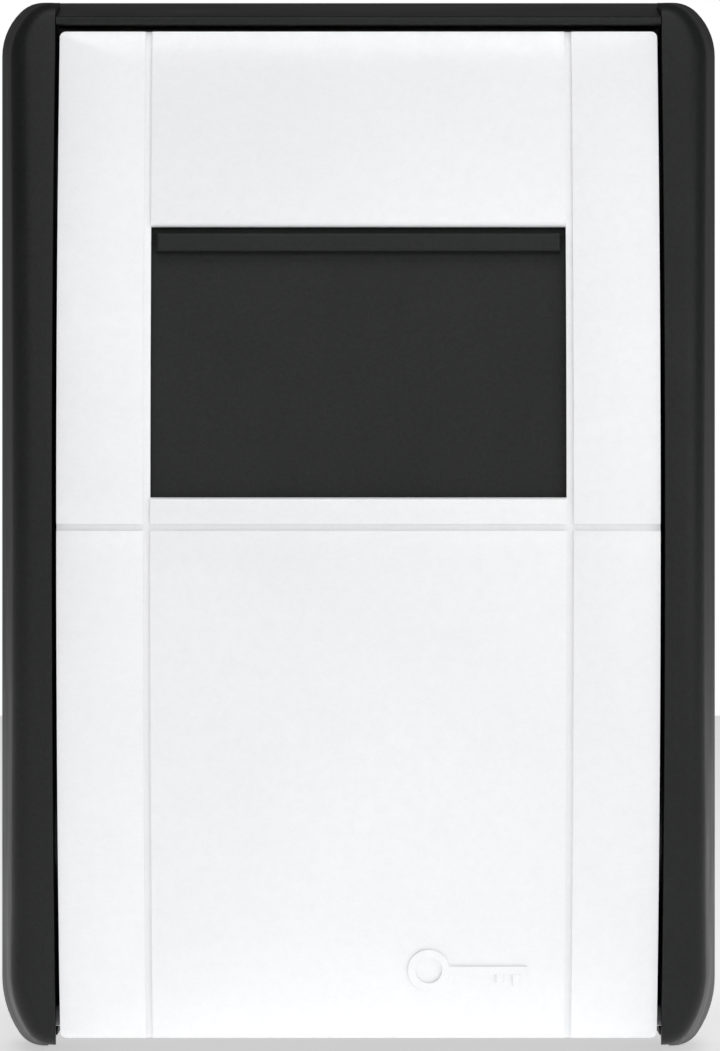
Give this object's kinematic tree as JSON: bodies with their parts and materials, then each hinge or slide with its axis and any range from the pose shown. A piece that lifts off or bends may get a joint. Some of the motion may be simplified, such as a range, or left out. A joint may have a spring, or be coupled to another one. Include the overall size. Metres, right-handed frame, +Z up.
{
  "type": "key lock box",
  "caption": "Wall-mounted key lock box with a curved front door that folds down, a slide cover over number rings, a latch inside the door and a hook for keys.",
  "frame": {"origin": "centre of the back face, on the wall", "axes": "+Z up, -Y out of the wall towards the user, +X to the user's right"},
  "size_m": [0.082, 0.046, 0.12],
  "materials": {
    "cast_zinc": "satin",
    "black_plastic": "satin",
    "steel": "satin",
    "silver_paint": "satin",
    "carrier_plastic": "satin",
    "spring_steel": "polished",
    "dark_steel": "satin",
    "slider_plastic": "matte",
    "knob_plastic": "satin",
    "lever_plastic": "satin",
    "ring_plastic": "satin",
    "brass": "satin"
  },
  "bodies": {
    "housing": {"housing": "cast_zinc", "side_cover_left": "black_plastic", "side_cover_right": "black_plastic", "top_cover": "black_plastic", "cover_screws": "steel", "keeper_plate": "steel", "keeper_screws": "steel", "key_hook": "steel", "hinge_pins": "dark_steel"},
    "door": {"door_front": "silver_paint", "dial_plate": "black_plastic", "mechanism_carrier": "carrier_plastic", "carrier_screws": "steel", "detent_spring": "spring_steel", "inner_cover": "black_plastic", "inner_cover_screws": "steel"},
    "slider": {"slider_cover": "slider_plastic"},
    "latch": {"latch_plate": "steel", "release_knob": "knob_plastic", "latch_spring": "spring_steel"},
    "code_change": {"dial_shaft": "steel", "shaft_clips": "spring_steel", "code_change_lever": "lever_plastic"},
    "ring_1": {"number_ring_1": "ring_plastic"},
    "hub_1": {"code_hub_1": "brass"},
    "ring_2": {"number_ring_2": "ring_plastic"},
    "hub_2": {"code_hub_2": "brass"},
    "ring_3": {"number_ring_3": "ring_plastic"},
    "hub_3": {"code_hub_3": "brass"},
    "ring_4": {"number_ring_4": "ring_plastic"},
    "hub_4": {"code_hub_4": "brass"}
  },
  "joints": [
    {"name": "door_hinge", "type": "hinge", "parent": "housing", "child": "door", "pos_m": [0, -0.034, -0.054], "axis": [1, 0, 0], "range_deg": [0, 105]},
    {"name": "slider_slide", "type": "hinge", "parent": "door", "child": "slider", "pos_m": [0, 0.144, 0], "axis": [1, 0, 0], "range_deg": [0, 8.08]},
    {"name": "latch_slide", "type": "slide", "parent": "door", "child": "latch", "axis": [1, 0, 0], "range_m": [-0.0025, 0], "deforming": ["latch_spring"]},
    {"name": "code_change_slide", "type": "slide", "parent": "door", "child": "code_change", "axis": [-1, 0, 0], "range_m": [-0.0013, 0]},
    {"name": "ring_1_turn", "type": "hinge", "parent": "door", "child": "ring_1", "pos_m": [0, -0.03328, 0.019], "axis": [1, 0, 0], "continuous": true},
    {"name": "hub_1_turn", "type": "hinge", "parent": "code_change", "child": "hub_1", "pos_m": [0, -0.03328, 0.019], "axis": [1, 0, 0], "continuous": true},
    {"name": "ring_2_turn", "type": "hinge", "parent": "door", "child": "ring_2", "pos_m": [0, -0.03328, 0.019], "axis": [1, 0, 0], "continuous": true},
    {"name": "hub_2_turn", "type": "hinge", "parent": "code_change", "child": "hub_2", "pos_m": [0, -0.03328, 0.019], "axis": [1, 0, 0], "continuous": true},
    {"name": "ring_3_turn", "type": "hinge", "parent": "door", "child": "ring_3", "pos_m": [0, -0.03328, 0.019], "axis": [1, 0, 0], "continuous": true},
    {"name": "hub_3_turn", "type": "hinge", "parent": "code_change", "child": "hub_3", "pos_m": [0, -0.03328, 0.019], "axis": [1, 0, 0], "continuous": true},
    {"name": "ring_4_turn", "type": "hinge", "parent": "door", "child": "ring_4", "pos_m": [0, -0.03328, 0.019], "axis": [1, 0, 0], "continuous": true},
    {"name": "hub_4_turn", "type": "hinge", "parent": "code_change", "child": "hub_4", "pos_m": [0, -0.03328, 0.019], "axis": [1, 0, 0], "continuous": true}
  ],
  "couplings": [
    {"joint": "hub_1_turn", "follows": "ring_1_turn", "ratio": 1},
    {"joint": "hub_2_turn", "follows": "ring_2_turn", "ratio": 1},
    {"joint": "hub_3_turn", "follows": "ring_3_turn", "ratio": 1},
    {"joint": "hub_4_turn", "follows": "ring_4_turn", "ratio": 1}
  ]
}
